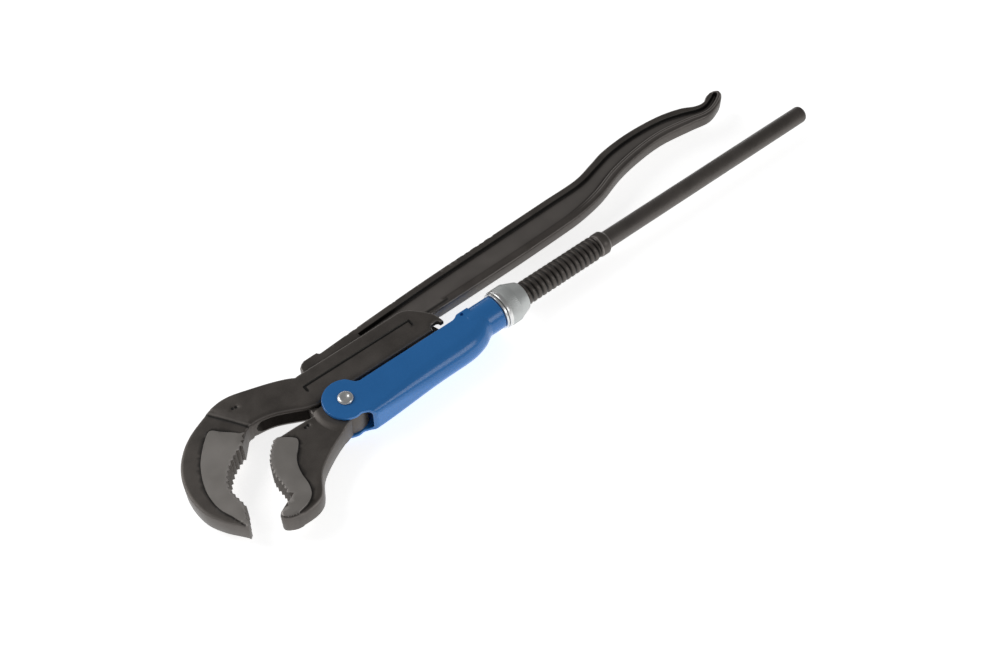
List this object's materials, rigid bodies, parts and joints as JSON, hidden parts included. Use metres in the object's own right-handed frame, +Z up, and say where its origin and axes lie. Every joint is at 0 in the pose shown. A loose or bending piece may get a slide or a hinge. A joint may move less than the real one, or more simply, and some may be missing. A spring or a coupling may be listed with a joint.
{
  "type": "pipe wrench",
  "caption": "Corner-pattern pipe wrench: toothed hook jaw on a threaded rod handle, lower jaw with I-beam handle, hinged sheet housing and adjusting nut.",
  "frame": {"origin": "on the resting surface, under the middle of the tool's box, with the tool lying flat", "axes": "+X along the rod handle away from the jaws, +Y towards the I-beam handle, +Z up through the tool's thickness"},
  "size_m": [0.5454, 0.1176, 0.0286],
  "materials": {
    "forged_steel": "phosphated forging, satin, lighter where ground",
    "blue_lacquer": "smooth blue lacquer",
    "zinc_plate": "dull zinc plate",
    "bright_steel": "bright turned steel",
    "spring_steel": "blackened spring steel",
    "bronze": "plain bearing bronze"
  },
  "bodies": {
    "lower_lever": {"handle_forging": "forged_steel", "pivot_bush": "bronze"},
    "housing": {"housing": "blue_lacquer", "leaf_spring": "spring_steel", "pivot_rivet": "bright_steel", "rivet_washer": "bright_steel", "thrust_washer": "zinc_plate"},
    "nut": {"adjusting_nut": "zinc_plate", "nut_ring": "spring_steel"},
    "hook": {"hook_jaw": "forged_steel", "threaded_rod": "forged_steel", "coupling_pin": "spring_steel"}
  },
  "joints": [
    {"name": "housing_hinge", "type": "hinge", "parent": "lower_lever", "child": "housing", "pos_m": [-0.15727, -0.0082, 0.0143], "axis": [0, 0, 1], "range_deg": [-4, 2]},
    {"name": "nut_spin", "type": "hinge", "parent": "housing", "child": "nut", "pos_m": [-0.0248, -0.0082, 0.0143], "axis": [1, 0, 0], "range_deg": [-1539, 3118]},
    {"name": "jaw_slide", "type": "slide", "parent": "housing", "child": "hook", "axis": [1, 0, 0], "range_m": [-0.0381, 0.0188]}
  ],
  "couplings": [
    {"joint": "nut_spin", "follows": "jaw_slide", "rad_per_m": -1428}
  ]
}
